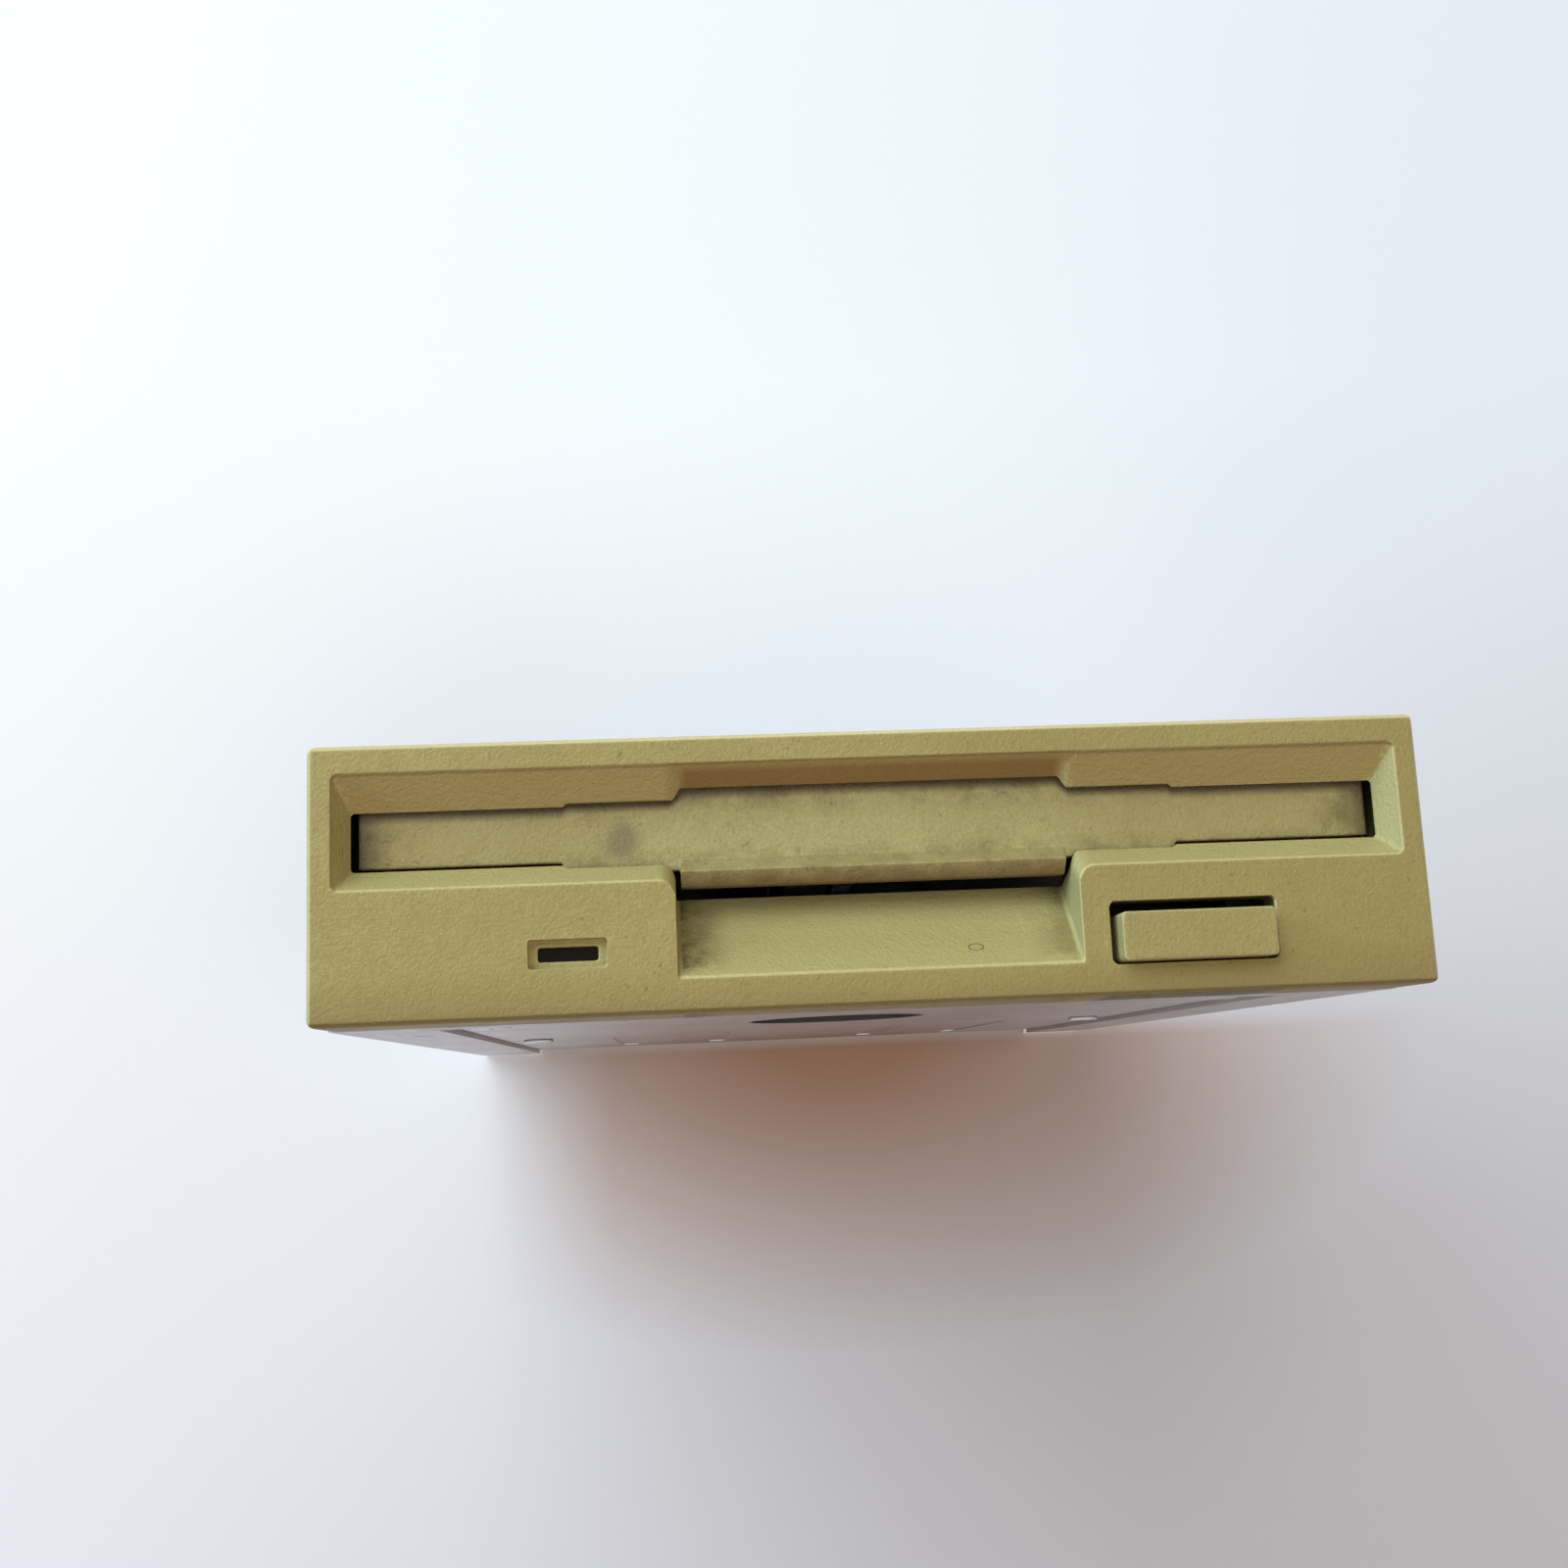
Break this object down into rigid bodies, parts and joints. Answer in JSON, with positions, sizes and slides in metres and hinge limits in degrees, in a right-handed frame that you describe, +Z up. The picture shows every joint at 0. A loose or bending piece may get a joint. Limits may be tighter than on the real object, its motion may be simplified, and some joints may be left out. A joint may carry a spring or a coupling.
{
  "type": "internal floppy disk drive",
  "caption": "Internal floppy disk drive: yellowed bezel with hinged slot door and eject button, disk lift, spindle motor and screw-driven heads in a sheet-metal case.",
  "frame": {"origin": "centre of the overall box at the underside, with the drive lying flat", "axes": "+X to the right as seen from the slot, +Y from the slot to the rear, +Z up"},
  "size_m": [0.1016, 0.1478, 0.025],
  "materials": {
    "bezel": "aged, finely textured",
    "door": "aged, slightly worn",
    "button": "aged, smooth from use",
    "lamp": "dark, unlit",
    "zinc": "zinc plated sheet",
    "cover": "zinc plated sheet",
    "shield": "zinc plated sheet",
    "screw": "plated",
    "steel": "ground",
    "dark_plastic": "matt",
    "board": "coated board",
    "copper": "enamelled wire",
    "brass": "turned",
    "magnet": "moulded ferrite",
    "ceramic": "polished",
    "motor_can": "plated can",
    "ribbon": "film",
    "white_plastic": "moulded",
    "chip": "moulded",
    "header": "moulded",
    "gold_pin": "plated"
  },
  "bodies": {
    "case": {"front_bezel": "bezel", "activity_lamp": "lamp", "main_frame": "zinc", "top_cover": "cover", "bottom_shield": "shield", "cover_screws": "screw", "shield_screws": "screw", "board_screws": "screw", "slide_guides": "steel", "slide_springs": "steel", "motor_board": "board", "stator_coils": "copper", "spindle_bearing": "brass", "guide_rods": "steel", "screw_bracket": "zinc", "stepper_motor": "motor_can", "track_sensor": "dark_plastic", "head_ribbon": "ribbon", "motor_ribbon": "ribbon", "switch_block": "dark_plastic", "main_board": "board", "controller_chips": "chip", "ribbon_socket": "white_plastic", "data_header": "header", "data_pins": "gold_pin", "power_header": "white_plastic", "power_pins": "gold_pin"},
    "door": {"slot_door": "door", "door_spring": "steel"},
    "slide": {"eject_button": "button", "slide_plate": "zinc"},
    "holder": {"disk_holder": "zinc", "lever_pivot": "steel"},
    "lever": {"shutter_lever": "dark_plastic"},
    "spindle": {"rotor_plate": "steel", "ring_magnet": "magnet", "spindle_shaft": "steel", "spindle_hub": "steel", "chuck_magnet": "magnet", "drive_pin": "steel"},
    "carriage": {"head_carriage": "dark_plastic", "lower_head": "ceramic", "arm_pivot": "steel", "follower_pin": "steel"},
    "arm": {"upper_arm": "zinc", "upper_head": "ceramic"},
    "screw": {"lead_screw": "steel"},
    "protect_switch": {"protect_plunger": "white_plastic"},
    "density_switch": {"density_plunger": "white_plastic"},
    "disk_switch": {"disk_plunger": "white_plastic"}
  },
  "joints": [
    {"name": "eject_slide", "type": "slide", "parent": "case", "child": "slide", "axis": [0, -1, 0], "range_m": [0, 0.0045], "deforming": ["slide_springs"]},
    {"name": "holder_drop", "type": "slide", "parent": "case", "child": "holder", "axis": [0, 0, -1], "range_m": [0, 0.0027]},
    {"name": "head_seek", "type": "slide", "parent": "case", "child": "carriage", "axis": [0, -1, 0], "range_m": [0, 0.0148], "deforming": ["head_ribbon"]},
    {"name": "head_load", "type": "hinge", "parent": "carriage", "child": "arm", "pos_m": [0, 0.0449, 0.01707], "axis": [1, 0, 0], "range_deg": [0, 10.5]},
    {"name": "screw_turn", "type": "hinge", "parent": "case", "child": "screw", "pos_m": [-0.028, 0.0259, 0.0156], "axis": [0, -1, 0], "range_deg": [0, 1420.8]},
    {"name": "spindle_turn", "type": "hinge", "parent": "case", "child": "spindle", "pos_m": [0, -0.0236, 0.008], "axis": [0, 0, 1], "continuous": true},
    {"name": "door_swing", "type": "hinge", "parent": "case", "child": "door", "pos_m": [0, -0.0675, 0.0216], "axis": [1, 0, 0], "range_deg": [0, 90], "stiffness_Nm_per_rad": 0.002, "springref_deg": -20.05},
    {"name": "lever_swing", "type": "hinge", "parent": "holder", "child": "lever", "pos_m": [-0.028, -0.0121, 0.01957], "axis": [0, 0, 1], "range_deg": [0, 38], "stiffness_Nm_per_rad": 0.001, "springref_deg": -17.19},
    {"name": "protect_press", "type": "slide", "parent": "case", "child": "protect_switch", "axis": [0, 0, -1], "range_m": [0, 0.001], "stiffness_N_per_m": 150},
    {"name": "density_press", "type": "slide", "parent": "case", "child": "density_switch", "axis": [0, 0, -1], "range_m": [0, 0.001], "stiffness_N_per_m": 150},
    {"name": "disk_press", "type": "slide", "parent": "case", "child": "disk_switch", "axis": [0, 0, -1], "range_m": [0, 0.001], "stiffness_N_per_m": 150}
  ],
  "couplings": [
    {"joint": "holder_drop", "follows": "eject_slide", "ratio": 0.6},
    {"joint": "head_load", "follows": "eject_slide", "rad_per_m": 40.724},
    {"joint": "screw_turn", "follows": "head_seek", "rad_per_m": 1675.5}
  ]
}
